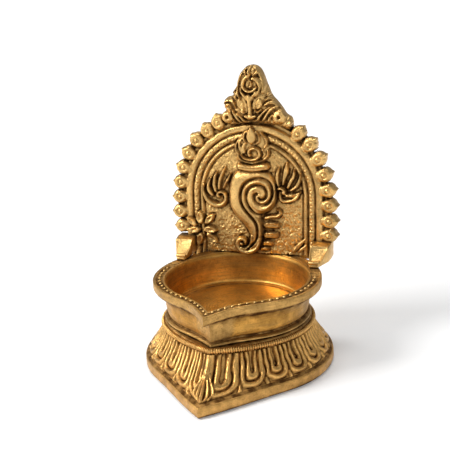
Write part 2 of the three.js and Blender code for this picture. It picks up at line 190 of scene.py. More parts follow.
def brass(name, bright, deep, gloss, grain, turned=0.0, amber=0.0):
    """Metal with bright and deep tones: dark polish in the hollows, painted shade where a piece's attribute
    holds it, and the grain of sand.
    """
    material = bpy.data.materials.new(name)
    material.use_nodes = True
    tree = material.node_tree
    surface = tree.nodes["Principled BSDF"].inputs
    surface["Metallic"].default_value = 1.0
    place = add_node(tree, "TexCoord", "Object", {})
    from_axis = add_node(tree, "Mapping", "Vector",
                         {"Vector": place, "Location": Vector(-bowl_axis * mm)})

    def noise(scale, detail, rough=0.55, vector=place):
        return add_node(tree, "TexNoise", "Fac", {
            "Vector": vector, "Scale": scale, "Detail": detail, "Roughness": rough})

    def blend(kind, factor, a, b):
        a, b = [c if isinstance(c, bpy.types.NodeSocket) else (*c, 1) for c in (a, b)]
        return add_node(tree, "Mix", "Result", {"Factor": factor, "A": a, "B": b},
                        data_type="RGBA", blend_type=kind)

    def spread(value, low, high, to_low=0.0, to_high=1.0):
        return add_node(tree, "MapRange", "Result", {
            "Value": value, "From Min": low, "From Max": high, "To Min": to_low, "To Max": to_high})

    def maths(kind, a, b, clamp=True):
        return add_node(tree, "Math", 0, {0: a, 1: b}, operation=kind, use_clamp=clamp)

    def dented(strength, depth, height, under):
        return add_node(tree, "Bump", "Normal", {
            "Strength": strength, "Distance": depth * mm, "Height": height, **under})

    # Dark polish lies where the relief says so and wherever the metal shuts itself in; the same attribute
    # also carries painted shade under the bowl's rim and lip.
    shut_in = add_node(tree, "AmbientOcclusion", "AO", {"Distance": 2.6 * mm}, samples=8)
    stain_and_shade_in = add_node(tree, "Attribute", "Fac", {}, attribute_name="stain_and_shade")
    soot_and_shade = maths("MAXIMUM", stain_and_shade_in, spread(shut_in, 0.86, 0.35, 0.0, 0.95))
    soot_and_shade = maths("MULTIPLY", soot_and_shade, spread(noise(240, 3), 0.30, 0.62, 0.45, 1.2))
    worn = [c * 0.66 for c in bright]
    tone = blend("MIX", spread(noise(110, 6, 0.65), 0.38, 0.66), bright, worn)
    tone = blend("MIX", spread(noise(1100, 3), 0.54, 0.72, 0.0, 0.42), tone, deep)
    if amber:
        # Old oil tints the inside, and the tool's streaks run round it.
        flattened = add_node(tree, "VectorMath", "Vector", {0: from_axis, 1: (1, 0.92, 0)},
                             operation="MULTIPLY")
        radius = add_node(tree, "VectorMath", "Value", {0: flattened}, operation="LENGTH")
        height = add_node(tree, "SeparateXYZ", "Z", {"Vector": place})
        inside = spread(radius, 34.0 * mm, 33.2 * mm)
        above = spread(height, 25.0 * mm, 25.4 * mm)
        oily = maths("MULTIPLY", maths("MULTIPLY", inside, above), amber)
        tone = blend("MULTIPLY", oily, tone, (1.0, 0.80, 0.30))
        across, behind = [add_node(tree, "SeparateXYZ", axis, {"Vector": from_axis}) for axis in "XY"]
        bearing = maths("ARCTAN2", across, behind, False)
        ring_place = add_node(tree, "CombineXYZ", "Vector", {
            "X": radius, "Y": height, "Z": maths("MULTIPLY", bearing, 1.6 * mm, False)})
        streaks = noise(1100, 4, 0.5, ring_place)
        dull = [c * 0.42 for c in bright]
        tone = blend("MIX", spread(streaks, 0.45, 0.72, 0.0, 0.6), tone, dull)
    tree.links.new(blend("MIX", soot_and_shade, tone, deep), surface["Base Color"])
    rough = spread(noise(160, 4), 0.3, 0.7, gloss, gloss + 0.14)
    rough = maths("ADD", rough, maths("MULTIPLY", soot_and_shade, 0.35))
    tree.links.new(rough, surface["Roughness"])
    normal = dented(grain, 0.25, noise(1500, 3), {})
    normal = dented(grain * 0.8, 0.8, noise(320, 4), {"Normal": normal})
    if turned:
        lathe = add_node(
            tree, "TexWave", "Fac", {"Vector": from_axis, "Scale": 260, "Distortion": 2.0, "Detail": 3},
            wave_type="RINGS", rings_direction="Z")
        normal = dented(turned, 0.12, lathe, {"Normal": normal})
    tree.links.new(normal, surface["Normal"])
    return material


# The columns stand closer together at the front, where the corner leaf is.
columns = 860
turn = np.linspace(-math.pi, math.pi, columns, endpoint=False)
turn = turn - 0.38 * np.sin(turn)
plinth = profile([  # side, front, corner, height, lift of the corner, steps
    (41.6, 41.6, 59.0, 0.0, 0, 1),
    (44.2, 44.2, 64.0, 0.0, 0, 2),
    (44.85, 44.85, 64.8, 0.5, 0, 2),
    (45.0, 45.0, 65.0, 1.2, 0, 1),
    (45.0, 45.0, 65.0, 4.2, 0, 4),
    (44.8, 44.8, 64.7, 4.8, 0, 2),
    (44.2, 44.2, 63.9, 5.1, 0, 2),
    (43.9, 43.9, 63.0, 5.1, 0, 2),
    (*skirt_at(0.0), 2),
])
skirt = [np.array(skirt_at(k / skirt_rows)) for k in range(skirt_rows)]
neck_and_hollow = profile([
    (*skirt_at(1.0), 1),
    (35.0, 35.0, 45.2, 20.4, 2.4, 2),
    (34.9, 34.9, 44.8, 21.6, 2.2, 2),
    (34.6, 34.6, 43.9, 22.2, 1.3, 2),
    (33.9, 33.9, 43.0, 22.5, 0.3, 2),
    (32.2, 32.2, 40.0, 22.5, 0, 2),
    round_at(27.4, 22.5, 2),
    round_at(27.3, 22.4, 1),
    round_at(27.3, 18.7, 1),
    round_at(27.2, 18.6, 1),
    round_at(6.4, 18.6, 2),
    round_at(6.3, 15.5, 2),
    round_at(6.5, 15.4, 1),
    (32.0, 32.0, 39.4, 15.4, 0, 4),
    (39.6, 39.6, 54.0, 5.1, 0, 4),
    (41.6, 41.6, 59.0, 0.0, 0, 3),
])
levels = np.array(plinth + skirt + neck_and_hollow)
body = drawn_out(
    turn[None, :], *[levels[:, k, None] for k in range(5)], pedestal_sharp
)

# The chasing is laid out in millimetres along each row and up each column of the skirt.
first, last = len(plinth), len(plinth) + skirt_rows
skin = body[first:last]
round_step = np.linalg.norm(np.diff(skin, axis=1, append=skin[:, :1]), axis=-1)
along = np.cumsum(round_step, axis=1) - round_step
middle = along[:, columns // 2][:, None]
along = along - middle  # 0 at the front corner
up_step = np.linalg.norm(np.diff(skin, axis=0, prepend=skin[:1]), axis=-1)
up = np.cumsum(up_step, axis=0)
relief = np.full(skin.shape[:2], -0.35)
wobble = 0.32 * waver(along * 1.2, up * 0.9, 3)
for left, right in zip(petal_edges[:-1], petal_edges[1:]):
    inside = (turn >= left) & (turn < right)
    edge_left = np.array([np.interp(left, turn, row) for row in along])[:, None]
    edge_right = np.array([np.interp(min(right, turn[-1]), turn, row) for row in along])[:, None]
    half = (edge_right - edge_left) / 2
    q = (along[:, inside] - (edge_left + edge_right) / 2 + wobble[:, inside]) / half
    y = up[:, inside] + 0.5 * wobble[:, inside]
    drop = np.maximum(0, 6.6 - y) / 6.1
    nest = (np.abs(q) ** 2.4 + drop ** 2.4) ** (1 / 2.4)
    lotus = -0.75 + 1.35 * ridge(nest, 0.15, 0.49) + 1.4 * ridge(nest, 0.59, 0.97)
    bead = np.hypot(q * half, (y - 7.9) * 0.75)
    slot = (np.abs(q) < 0.14) & (y > 8)
    lotus = np.where((nest < 0.3) & (y < 8), np.maximum(lotus, 0.45), lotus)
    lotus = np.where(slot, -1.0, lotus)
    lotus = np.where(bead < 1.0, -1.1 + 0.6 * ridge(bead, -0.5, 0.5), lotus)
    dart = (np.abs(q) > 0.9) & (y < 3.4) & (nest > 1.0)
    lotus = np.where(dart, 0.25, lotus)
    relief[:, inside] = lotus

# The leaf on the front corner, with ribs that run down and outwards on both sides.
beside = np.abs(along)
leaf_edge = np.interp(up, [0, 0.9, 2.6, 5.5, 9, 13, 16], [1.4, 4.6, 6.6, 5.6, 3.5, 1.6, 0.8])
leaf = 0.45 + 0.75 * np.cos(2 * math.pi * 2.4 * beside / leaf_edge)
leaf = np.where(up > 13.5, 0.8, leaf)
relief = np.where(beside < leaf_edge, leaf, relief)
fade = np.clip(up / 0.7, 0, 1) * np.clip((up.max(axis=0) - up) / 0.6, 0, 1)
relief = blurred(relief, 1) * fade - 0.3 * (1 - fade)

height = np.zeros(body.shape[:2])
height[first:last] = relief
# The plinth was filed by hand, so its face isn't quite flat.
plinth_wave = 0.12 * waver(turn[None, :] * 9, levels[:first, 3][:, None] * 0.8, 8)
height[3:first - 3] = plinth_wave[3:first - 3] - 0.1
body = body + face_out(body) * height[..., None]
# hollow holds the pedestal's dark polish, and on the neck also painted shade.
hollow = np.zeros(body.shape[:2])
hollow[first:last] = np.clip((blurred(relief, 6) - relief) * 3.4, 0, 1)
hollow[2:first - 4] = 0.32
hollow[first - 4:first + 1] = 0.8
# Painted shadow: the neck and deck from under the rope ring up to the bowl's lip are darkened as the shade
# under the lip.
hollow[last:last + 9] = 0.6
pedestal = rolled_sheet("pedestal_casting", body, hollow)
pedestal_brass = brass("pedestal brass", (0.88, 0.505, 0.155), (0.095, 0.038, 0.009), 0.30, 0.75)
pedestal.data.materials.append(pedestal_brass)
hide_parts("pedestal")
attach(pedestal, "lamp_base")


# ---- Rope ring ----
# A milled bead cast round the top of the skirt. It lies low at the sides and rises
# towards the front corner.

ring_notches = 206
ring_columns = ring_notches * 8
ring_turn = np.linspace(-math.pi, math.pi, ring_columns, endpoint=False)
ring_side, ring_corner, ring_height, ring_lift = 35.3, 45.6, 20.4, 2.4
ring_path = drawn_out(
    ring_turn, ring_side, ring_side, ring_corner, ring_height, ring_lift, pedestal_sharp
)
ring_length = np.cumsum(np.linalg.norm(np.diff(ring_path, axis=0, append=ring_path[:1]), axis=1))
notch = np.abs(np.sin(math.pi * ring_notches * ring_length / ring_length[-1]))
section = np.linspace(0, 2 * math.pi, 14, endpoint=False)
outward = ring_path * [1, 1, 0]
outward /= np.linalg.norm(outward, axis=1, keepdims=True)
bead_radius = 0.8 + 0.5 * notch ** 0.8
ring_points = (
    ring_path[None]
    + outward[None] * (np.cos(section)[:, None] * bead_radius)[..., None]
    + np.array([0, 0, 1.0]) * (np.sin(section)[:, None] * bead_radius)[..., None]
)
ring_stain = np.repeat((0.65 * (1 - notch) ** 1.5)[None], len(section), axis=0)
rope_ring = rolled_sheet("rope_ring", ring_points, ring_stain)
rope_ring.data.materials.append(pedestal_brass)
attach(rope_ring, "lamp_base")


# ---- Bowl ----
# The oil bowl, cast with a pointed spout and turned on a lathe inside. It drops into the
# pedestal's deck on a spigot, and a thin wavy lip covers the joint.

bowl_sharp = 4.4


def belly_at(share):
    """Level of the bowl's side between its foot and the underside of the rim."""
    swell = 0.5 * math.sin(math.pi * min(1, share / 0.6))
    side, front = 33.1 + 2.2 * share ** 2 + swell, 33.1 + 1.2 * share + swell
    return [side, front, 42.9 + 0.6 * share, 25.7 + 9.5 * share, 0]


bowl_levels = np.array(profile([  # side, front, spout, height, lift, steps
    round_at(3.3, 16.0, 1),
    round_at(5.9, 16.0, 2),
    round_at(6.0, 18.9, 2),
    round_at(26.9, 18.9, 3),
    round_at(27.0, 19.0, 1),
    round_at(27.0, 22.7, 2),
    (32.2, 32.2, 40.8, 22.8, 0, 3),
    (34.0, 34.0, 42.8, 22.85, 0, 2),
    (34.6, 34.6, 43.3, 23.3, 0, 2),
    (34.5, 34.5, 43.2, 23.8, 0, 2),
    (33.8, 33.8, 42.8, 24.3, 0, 2),
    (32.6, 32.6, 42.1, 24.6, 0, 2),
    (32.4, 32.4, 42.0, 25.1, 0, 2),
    (*belly_at(0.0), 2),
    *[(*belly_at(share), 4) for share in (0.2, 0.4, 0.6, 0.8, 1.0)],
    (35.7, 34.6, 44.2, 35.1, 0, 2),
    (37.6, 35.0, 47.4, 35.5, 0, 4),
    (39.2, 35.6, 50.9, 36.5, 0, 4),
    (39.85, 35.9, 51.9, 37.3, 0, 1),
    (39.9, 35.9, 52.0, 40.2, 0, 5),
    (39.7, 35.7, 51.7, 40.7, 0, 2),
    (39.3, 35.3, 51.0, 40.8, 0, 2),
    (38.6, 34.8, 49.6, 40.7, 0, 2),
    (38.0, 34.3, 48.6, 40.35, 0, 2),
    (35.2, 33.1, 46.1, 40.35, 0, 4),
    (34.9, 32.8, 45.6, 40.7, 0, 2),
    (34.3, 32.4, 44.6, 40.8, 0, 2),
    (33.8, 32.0, 43.9, 40.5, 0, 2),
    (33.5, 31.9, 43.5, 39.8, 0, 2),
    (32.1, 31.2, 38.8, 26.7, 0, 14),
    (31.8, 30.9, 38.4, 26.2, 0, 3),
    (31.2, 30.3, 37.7, 25.9, 0, 2),
    (30.2, 29.6, 36.4, 25.75, 0, 2),
    (29.4, 28.9, 35.4, 25.5, 0, 2),
    (28.4, 28.2, 33.6, 25.6, 0, 2),
    round_at(3.3, 25.6, 16),
    round_at(0.0, 25.6, 2),
    round_at(0.0, 20.6, 1),
    round_at(3.3, 20.6, 1),
    round_at(3.3, 16.0, 1),
]))
bowl_turn = np.linspace(-math.pi, math.pi, 720, endpoint=False)
bowl_body = drawn_out(
    bowl_turn[None, :], *[bowl_levels[:, k, None] for k in range(5)], bowl_sharp
)
level_z = bowl_levels[:, 3, None]
level_side = bowl_levels[:, 0, None]

# The bead channel stops at two scribed lines in front of each foot of the back plate.
channel_end = math.radians(101)
scribe_places, scribe_width = np.radians([103.4, 106.6]), math.radians(0.9)
beyond = np.clip((np.abs(bowl_turn)[None] - channel_end) / math.radians(1.5), 0, 1)
in_channel = (level_z < 40.65) & (level_z > 40) & (level_side > 34.8) & (level_side < 38.7)
bowl_body[..., 2] += np.where(in_channel, 0.42 * beyond, 0)
on_rim = (level_z > 39.9) & (level_side > 34.2) & (level_side < 39.6)
scribes = sum(
    np.where(on_rim, np.exp(-((np.abs(bowl_turn)[None] - scribe) / scribe_width) ** 2), 0)
    for scribe in scribe_places
)
bowl_body[..., 2] -= 0.45 * scribes
# The lip over the joint was squeezed up by hand.
lip = np.exp(-((level_z - 23.7) / 0.8) ** 2) * (level_side > 32)
bowl_wave = waver(bowl_turn[None] * 4, level_z * 0.2, 5)
bowl_body[..., 2] += 0.28 * lip * bowl_wave
swell = 0.25 * waver(bowl_turn[None] * 5, level_z * 0.35, 6)
outside = (level_side > 33) & (level_z > 25) & (level_z < 40)
bowl_body += face_out(bowl_body) * (swell * outside)[..., None] * 0.5

# Polish has stayed in the scribed lines, the channel and the joints. Below the rim, the upper belly and the
# rim's flaring underside are darkened as painted shadow.
bowl_stain_and_shadow = 0.6 * scribes
bowl_stain_and_shadow += 0.30 * ((level_side > 32.7) & (level_z > 22))
# Painted shadow: a dark band on the upper belly just under the rim.
bowl_stain_and_shadow += 0.35 * np.exp(-((level_z - 34.6) / 1.6) ** 2) * (level_side > 33)
bowl_stain_and_shadow += 0.95 * np.exp(-((level_z - 24.95) / 0.55) ** 2) * (level_side > 32)
bowl_stain_and_shadow += 0.6 * np.exp(-((level_z - 22.7) / 0.5) ** 2) * (level_side > 31)
bowl_stain_and_shadow += 0.55 * in_channel * (1 - beyond)
bowl_stain_and_shadow += 0.7 * np.exp(-((level_side - 29.6) / 0.7) ** 2) * (level_z < 26.2)
# Painted shadow: the flaring underside of the rim is darkened.
bowl_stain_and_shadow += 0.65 * ((level_z > 34.6) & (level_z < 37.05) & (level_side > 34.8))
bowl = rolled_sheet("bowl_casting", bowl_body, np.clip(bowl_stain_and_shadow, 0, 1))
# Two blind holes are drilled in the rim behind for the pegs of the back plate.
peg_across, peg_behind, hole_radius = 32.04, 18.1, 1.6
hole_foot, drill_top = 36.1, 45.0
for side in (-1, 1):
    deselect_all()
    bpy.ops.mesh.primitive_cylinder_add(
        vertices=40, radius=hole_radius * mm, depth=(drill_top - hole_foot) * mm,
        location=Vector((np.array([side * peg_across, peg_behind, (drill_top + hole_foot) / 2])
                         + bowl_axis) * mm))
    drill = bpy.context.object
    select_only(bowl)
    drilled = bowl.modifiers.new("peg hole", "BOOLEAN")
    drilled.operation = "DIFFERENCE"
    drilled.object = drill
    bpy.ops.object.modifier_apply(modifier=drilled.name)
    bpy.data.objects.remove(drill)
bpy.ops.object.shade_smooth_by_angle(angle=math.radians(50))
bowl_brass = brass("bowl brass", (0.82, 0.49, 0.155), (0.095, 0.038, 0.01), 0.33, 0.35, 0.5, 0.55)
bowl.data.materials.append(bowl_brass)
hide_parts("bowl")
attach(bowl, "lamp_base")

# A row of round beads lies in the channel, one punched beside the other.
bead_pitch, bead_size = 3.5, 0.74
bead_turn = np.linspace(-channel_end + 0.02, channel_end - 0.02, 4000)
bead_path = drawn_out(bead_turn, 36.6, 33.5, 47.1, 40.5, 0, bowl_sharp)
bead_length = np.cumsum(np.r_[0, np.linalg.norm(np.diff(bead_path, axis=0), axis=1)])
deselect_all()
bpy.ops.mesh.primitive_uv_sphere_add(segments=12, ring_count=8, radius=bead_size * mm)
pattern_bead = bpy.context.object
beads = []
for place in np.arange(bead_pitch / 2, bead_length[-1], bead_pitch):
    spot = [np.interp(place, bead_length, bead_path[:, k]) for k in range(3)]
    bead = pattern_bead.copy()
    bead.data = pattern_bead.data.copy()
    bpy.context.collection.objects.link(bead)
    bead.location = Vector((np.array(spot) + bowl_axis) * mm)
    beads.append(bead)
bpy.data.objects.remove(pattern_bead)
deselect_all()
for bead in beads:
    bead.select_set(True)
bpy.context.view_layer.objects.active = beads[0]
bpy.ops.object.transform_apply(location=True, rotation=True, scale=True)
bpy.ops.object.join()
rim_beads = bpy.context.object
rim_beads.name = "rim_beads"
bpy.ops.object.shade_smooth()
cast_brass = brass("cast brass", (0.84, 0.525, 0.185), (0.085, 0.036, 0.009), 0.30, 0.75)
rim_beads.data.materials.append(cast_brass)
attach(rim_beads, "lamp_base")


# ---- Back plate ----
# One flat casting that stands on the rim: an arch with a border of pointed drops, a winged
# conch in low relief, and a lion-like mask for its crest. The lines are chased by hand.

plate_cell = 0.28
plate_lean = math.radians(3.2)
plate_stand = 41.1  # underside of the plate above the floor
plate_back = 36.2  # its back behind the bowl's centre line
ground = 4.6  # thickness of the plain panel
arch_height = 71
arch_radius = 35

across_cells, up_cells = 312, 346
half_width = across_cells * plate_cell / 2
face_x, face_z = np.meshgrid(
    np.linspace(-half_width, half_width, across_cells + 1),
    38.2 + plate_cell * np.arange(up_cells + 1),
)
arch = np.where(face_z > arch_height, np.hypot(face_x, face_z - arch_height), np.abs(face_x))


def outline_depth(points):
    """How far inside a closed outline each spot of the plate lies, negative outside."""
    corners = np.array(points, float)
    nearest = np.full(face_x.shape, 1e9)
    winding = np.zeros(face_x.shape, bool)
    for (ax, az), (bx, bz) in zip(corners, np.roll(corners, -1, axis=0)):
        ex, ez = bx - ax, bz - az
        share = np.clip(((face_x - ax) * ex + (face_z - az) * ez) / (ex * ex + ez * ez), 0, 1)
        nearest = np.minimum(nearest, np.hypot(face_x - ax - share * ex, face_z - az - share * ez))
        crosses = ((az > face_z) != (bz > face_z)) & (
            face_x < ex * (face_z - az) / (ez if ez else 1e-9) + ax
        )
        winding ^= crosses
    return np.where(winding, nearest, -nearest)


def curved(points, steps=7):
    """A smooth line through the given points; each point may hold more than a place."""
    p = np.array(points, float)
    p = np.vstack([2 * p[0] - p[1], p, 2 * p[-1] - p[-2]])
    line = []
    for a, b, c, d in zip(p[:-3], p[1:-2], p[2:-1], p[3:]):
        for t in np.arange(steps) / steps:
            line.append(
                0.5 * (2 * b + (c - a) * t + (2 * a - 5 * b + 4 * c - d) * t ** 2
                       + (3 * b - a - 3 * c + d) * t ** 3)
            )
    return np.array(line + [p[-2]])


def window_round(across, up, reach):
    """The part of the plate's grid that lies within reach of the given spots."""
    near_x = (face_x[0] > min(across) - reach) & (face_x[0] < max(across) + reach)
    near_z = (face_z[:, 0] > min(up) - reach) & (face_z[:, 0] < max(up) + reach)
    return np.ix_(near_z, near_x)


def nearness(line, margin):
    """For the spots near a line of (x, z, radius): the window, distance over radius, and
    distance past the radius."""
    window = window_round(line[:, 0], line[:, 1], line[:, 2].max() + margin)
    px, pz = face_x[window], face_z[window]
    ratio = np.full(px.shape, 1e9)
    past = np.full(px.shape, 1e9)
    for (ax, az, ar), (bx, bz, br) in zip(line[:-1], line[1:]):
        ex, ez = bx - ax, bz - az
        share = np.clip(((px - ax) * ex + (pz - az) * ez) / max(ex * ex + ez * ez, 1e-9), 0, 1)
        away = np.hypot(px - ax - share * ex, pz - az - share * ez)
        radius = np.maximum(ar + (br - ar) * share, 0.05)
        ratio = np.minimum(ratio, away / radius)
        past = np.minimum(past, away - radius)
    return window, ratio, past


def raised_line(points, level, rise, trench=0.55):
    """A rounded rib along a curved line, with a chased trench on both sides of it."""
    window, ratio, past = nearness(curved(points), 1.6)
    level = level[window] if isinstance(level, np.ndarray) else level
    spot = thick[window]
    spot = spot - np.where(past > 0, trench * np.exp(-(past / 0.5) ** 2), 0)
    crown = level + rise * np.sqrt(np.clip(1 - ratio ** 2, 0, 1))
    thick[window] = np.where(ratio < 1, np.maximum(crown, spot - 0.4), spot)


def cut_line(points, depth):
    """A rounded groove along a curved line."""
    window, ratio, past = nearness(curved(points), 0.8)
    thick[window] -= depth * np.clip(1 - ratio ** 2, 0, 1) ** 0.6


def petal(base, tip, width, level, rise, hollow=0.5, trench=0.5):
    """A pointed leaf with a raised edge round a hollow."""
    (ax, az), (bx, bz) = base, tip
    length = math.hypot(bx - ax, bz - az)
    window = window_round((ax, bx), (az, bz), width + 1.6)
    px, pz = face_x[window] - ax, face_z[window] - az
    ux, uz = (bx - ax) / length, (bz - az) / length
    share = (px * ux + pz * uz) / length
    side = np.abs(px * uz - pz * ux)
    half = width / 2 * np.sin(math.pi * np.clip(share, 0, 1) ** 0.85) ** 0.75
    inside = (share > 0) & (share < 1) & (side < half)
    ratio = side / np.maximum(half, 0.05)
    edge = np.maximum(ratio, np.abs(share - 0.5) * 1.8)
    bowl_shape = np.sqrt(np.clip(1 - edge ** 4, 0, 1)) - hollow * np.exp(-(edge / 0.5) ** 2)
    over = np.clip(np.maximum(side - half, 0) + np.maximum(-share, share - 1).clip(0) * length, 0, 9)
    spot = thick[window]
    spot = spot - np.where(inside, 0, trench * np.exp(-(over / 0.5) ** 2))
    thick[window] = np.where(inside, np.maximum(level + rise * bowl_shape, spot), spot)


def dome(x, z, wide, tall, level, rise, trench=0.45):
    """A rounded boss."""
    ratio = np.hypot((face_x - x) / wide, (face_z - z) / tall)
    past = (ratio - 1) * min(wide, tall)
    spot = thick - np.where(past > 0, trench * np.exp(-(past / 0.5) ** 2), 0)
    crown = level + rise * np.sqrt(np.clip(1 - ratio ** 2, 0, 1))
    thick[:] = np.where(ratio < 1, np.maximum(crown, spot), spot)


def eyelet(x, z, radius, rise):
    """A small punched ring round a dot."""
    away = np.hypot(face_x - x, face_z - z)
    mark = 0.8 * np.exp(-(away / (radius * 0.55)) ** 2) - 0.7 * np.exp(-((away - radius) / 0.3) ** 2)
    thick[:] = np.where(away < radius + 0.6, thick + rise * mark, thick)


def softened(field, own, passes):
    """The field averaged with its four neighbours, itself counted with its own weight."""
    for _ in range(passes):
        field = (own * field + np.roll(field, 1, 0) + np.roll(field, -1, 0)
                 + np.roll(field, 1, 1) + np.roll(field, -1, 1)) / (own + 4)
    return field


def crowned(depth, edge, top, round_off):
    """Thickness that rises from the edge of a shape in a quarter round."""
    share = np.clip(depth / round_off, 0, 1)
    return edge + (top - edge) * np.sqrt(1 - (1 - share) ** 2)


def raise_shape(depth, edge, top, round_off):
    """Raise the plate inside an outline, wherever it is lower there."""
    thick[:] = np.where(depth > 0, np.maximum(thick, crowned(depth, edge, top, round_off)), thick)


# The panel and its bands, from the edge inwards: plain, ringed and corded.
# Behind the rim the plate hangs a little lower, so it closes the corners beside the feet.
above_rim, beside_rim = 41.3, 38.6
hang = np.where((face_x < -24.7) | (face_x > 27.6), beside_rim, above_rim)
hang = np.where((face_x > -24.7) & (face_x < -22.4), above_rim - 0.18, hang)
panel_depth = np.minimum(arch_radius - arch, face_z - hang)
thick = np.where(panel_depth > 0, crowned(arch_radius - arch, 3.2, ground, 0.8), -1.0)
thick += np.where(panel_depth > 0, 0.7, 0) * ridge(arch, 31.3, 34.9)
thick += np.where(panel_depth > 0, 0.75, 0) * ridge(arch, 28.0, 30.7)
thick += np.where(panel_depth > 0, 0.65, 0) * ridge(arch, 25.3, 27.0)
for trough in (31.0, 27.5, 24.9):
    thick -= 0.8 * np.exp(-((arch - trough) / 0.42) ** 2)
cord_run = np.where(face_z > arch_height, np.arctan2(face_z - arch_height, face_x) * 26, face_z)
thick += np.where((arch > 25.3) & (arch < 27.0), 0.16 * np.sin(cord_run * 5.4), 0)
ringed_band, lowest_ring, ring_pitch = 29.3, 48, 3.6
under_crest = 1.42  # the rings stop where the crest covers the band
for side in (-1, 1):
    for step in range(22):
        run = lowest_ring + ring_pitch * step
        turned_by = max(0, run - arch_height) / ringed_band
        if turned_by < under_crest:
            eyelet(side * ringed_band * math.cos(turned_by),
                   min(run, arch_height) + ringed_band * math.sin(turned_by), 0.85, 0.7)

# The ground inside the bands is matted with a small punch.
punch = np.random.default_rng(11)
matting = softened(punch.normal(size=face_x.shape), 1, 2)
hatch = np.sin((face_x + face_z * 0.8) * 4.2 + 2 * waver(face_x, face_z, 4))
inner_ground = np.clip((25 - arch) / 0.6, 0, 1)
thick += inner_ground * (0.42 * (matting * 1.25 + 0.3 * hatch) + 0.06 * waver(face_x * 0.9, face_z * 0.9, 2))
outline = panel_depth.copy()

# Winged conch: its smooth body first, then the spiral that is cut and raised on it.
shell = outline_depth(curved([
    (-6.6, 83.3), (-9.6, 81.4), (-11.5, 77.4), (-12.3, 72), (-12, 66.8), (-10.6, 62.8),
    (-8.4, 59.6), (-6, 57.2), (-4, 54.8), (-2.5, 52.4), (-1.6, 49.8), (-2, 47), (0, 45.6),
    (3.4, 47.2), (4.8, 50.4), (5.3, 54), (5, 57.4), (4.2, 60.4), (6.4, 62.2), (9.2, 63.8),
    (11.2, 66.6), (12.2, 70), (12.3, 73.6), (11.6, 77.4), (9.6, 81.4), (6.6, 83.3), (0, 83.9),
    (-6.6, 83.3),
], 4)[:-1])
thick = np.where(shell > 0, np.maximum(thick, crowned(shell, ground - 0.4, ground + 3.3, 4.6)),
                 thick - 0.55 * np.exp(-(np.minimum(shell, 0) / 0.6) ** 2))
cut_line([
    (2.4, 72.2, 0.9), (1.3, 71, 1), (1.3, 69, 0.8), (2.5, 67.5, 0.75), (4.6, 66.6, 0.7),
    (7, 66.9, 0.7), (9.1, 68.5, 0.7), (10.2, 71, 0.7), (10.3, 73.6, 0.7), (9.5, 76.7, 0.75),
    (7.6, 79, 0.75), (4.6, 80, 0.8), (1.4, 79.6, 0.8), (-1.6, 78.4, 0.85), (-4.1, 76.2, 0.85),
    (-5.4, 73, 0.85), (-5.7, 69.8, 0.85), (-5.1, 66.8, 0.85), (-3.8, 64.2, 0.8),
    (-1.7, 61.6, 0.75), (0.5, 59.2, 0.75), (2, 56.6, 0.75), (2.5, 54, 0.7), (2.5, 51.5, 0.65),
    (2, 49, 0.6), (0.8, 46.8, 0.5), (-0.9, 44.9, 0.4),
], 1.7)
cut_line([
    (3.4, 70.2, 0.4), (4.4, 69.2, 0.55), (5.9, 69.5, 0.6), (7.1, 71, 0.65), (7.3, 73.2, 0.65),
    (6.3, 75.3, 0.65), (4.3, 76.3, 0.65), (1.8, 76.3, 0.65), (-0.6, 75.3, 0.7), (-2.3, 73.1, 0.7),
    (-2.9, 70.5, 0.7), (-2.6, 68, 0.7), (-1.6, 65.8, 0.65), (0, 63.8, 0.6), (2, 62.2, 0.5),
    (4.4, 61.4, 0.4),
], 1.7)
raised_line([
    (3.1, 68.8, 0.4), (4.6, 68.1, 0.75), (6.6, 68.4, 0.9), (8.3, 70.1, 0.95), (8.9, 72.6, 0.95),
    (8.3, 75.3, 0.95), (6.7, 77.3, 0.95), (4.4, 78.2, 0.95), (1.9, 78, 0.95),
    (-0.6, 77, 0.95), (-2.9, 75, 0.95), (-4.1, 72.6, 0.95), (-4.4, 70, 0.95),
    (-4, 67.6, 0.95), (-2.9, 65.2, 0.95), (-1.1, 62.9, 0.9), (0.9, 60.8, 0.9),
    (2.7, 58.4, 0.9), (3.6, 55.6, 0.85), (3.8, 52.8, 0.85), (3.5, 50.2, 0.8), (2.4, 47.6, 0.75),
    (0.8, 45.6, 0.7), (-1.6, 43.9, 0.6),
], ground + 1.6, 1.9, 0.25)
raised_line([
    (11.4, 75, 0.4), (11.5, 72.5, 0.6), (10.8, 69.2, 0.8), (8.8, 66.3, 1), (6, 64.6, 1.25),
    (3.4, 64.5, 1.4), (1, 66.3, 1.35), (-0.4, 68.8, 1.3), (-0.7, 71.3, 1.3), (0.3, 73.6, 1.25),
    (2.5, 74.8, 1.2), (4.8, 74.2, 1.25), (5.9, 72.5, 1.25), (5.2, 70.9, 1.15), (4, 71.3, 1.2),
], ground + 1.7, 1.6, 0.2)
# The tail curls back on itself at the foot of the panel.
raised_line([
    (3.9, 49.4, 0.5), (3, 46.4, 0.8), (1.4, 44, 1.1), (-1.2, 42.5, 1.35), (-4.4, 42.2, 1.45),
    (-7.2, 43.6, 1.45), (-8, 46.2, 1.35), (-7, 48.4, 1.3), (-5.2, 48.9, 1.2),
    (-3.9, 47.6, 0.9), (-3.9, 46.2, 0.5),
], ground + 1.2, 2.1)
raised_line([
    (-0.6, 50.5, 0.5), (-0.9, 47.6, 0.7), (-2.2, 45.2, 0.65), (-4.4, 43.9, 0.55), (-6.1, 44.6, 0.4),
], ground + 2, 1.3, 0.3)
dome(-5.7, 46.3, 1.15, 1.15, ground + 1.6, 1.5)
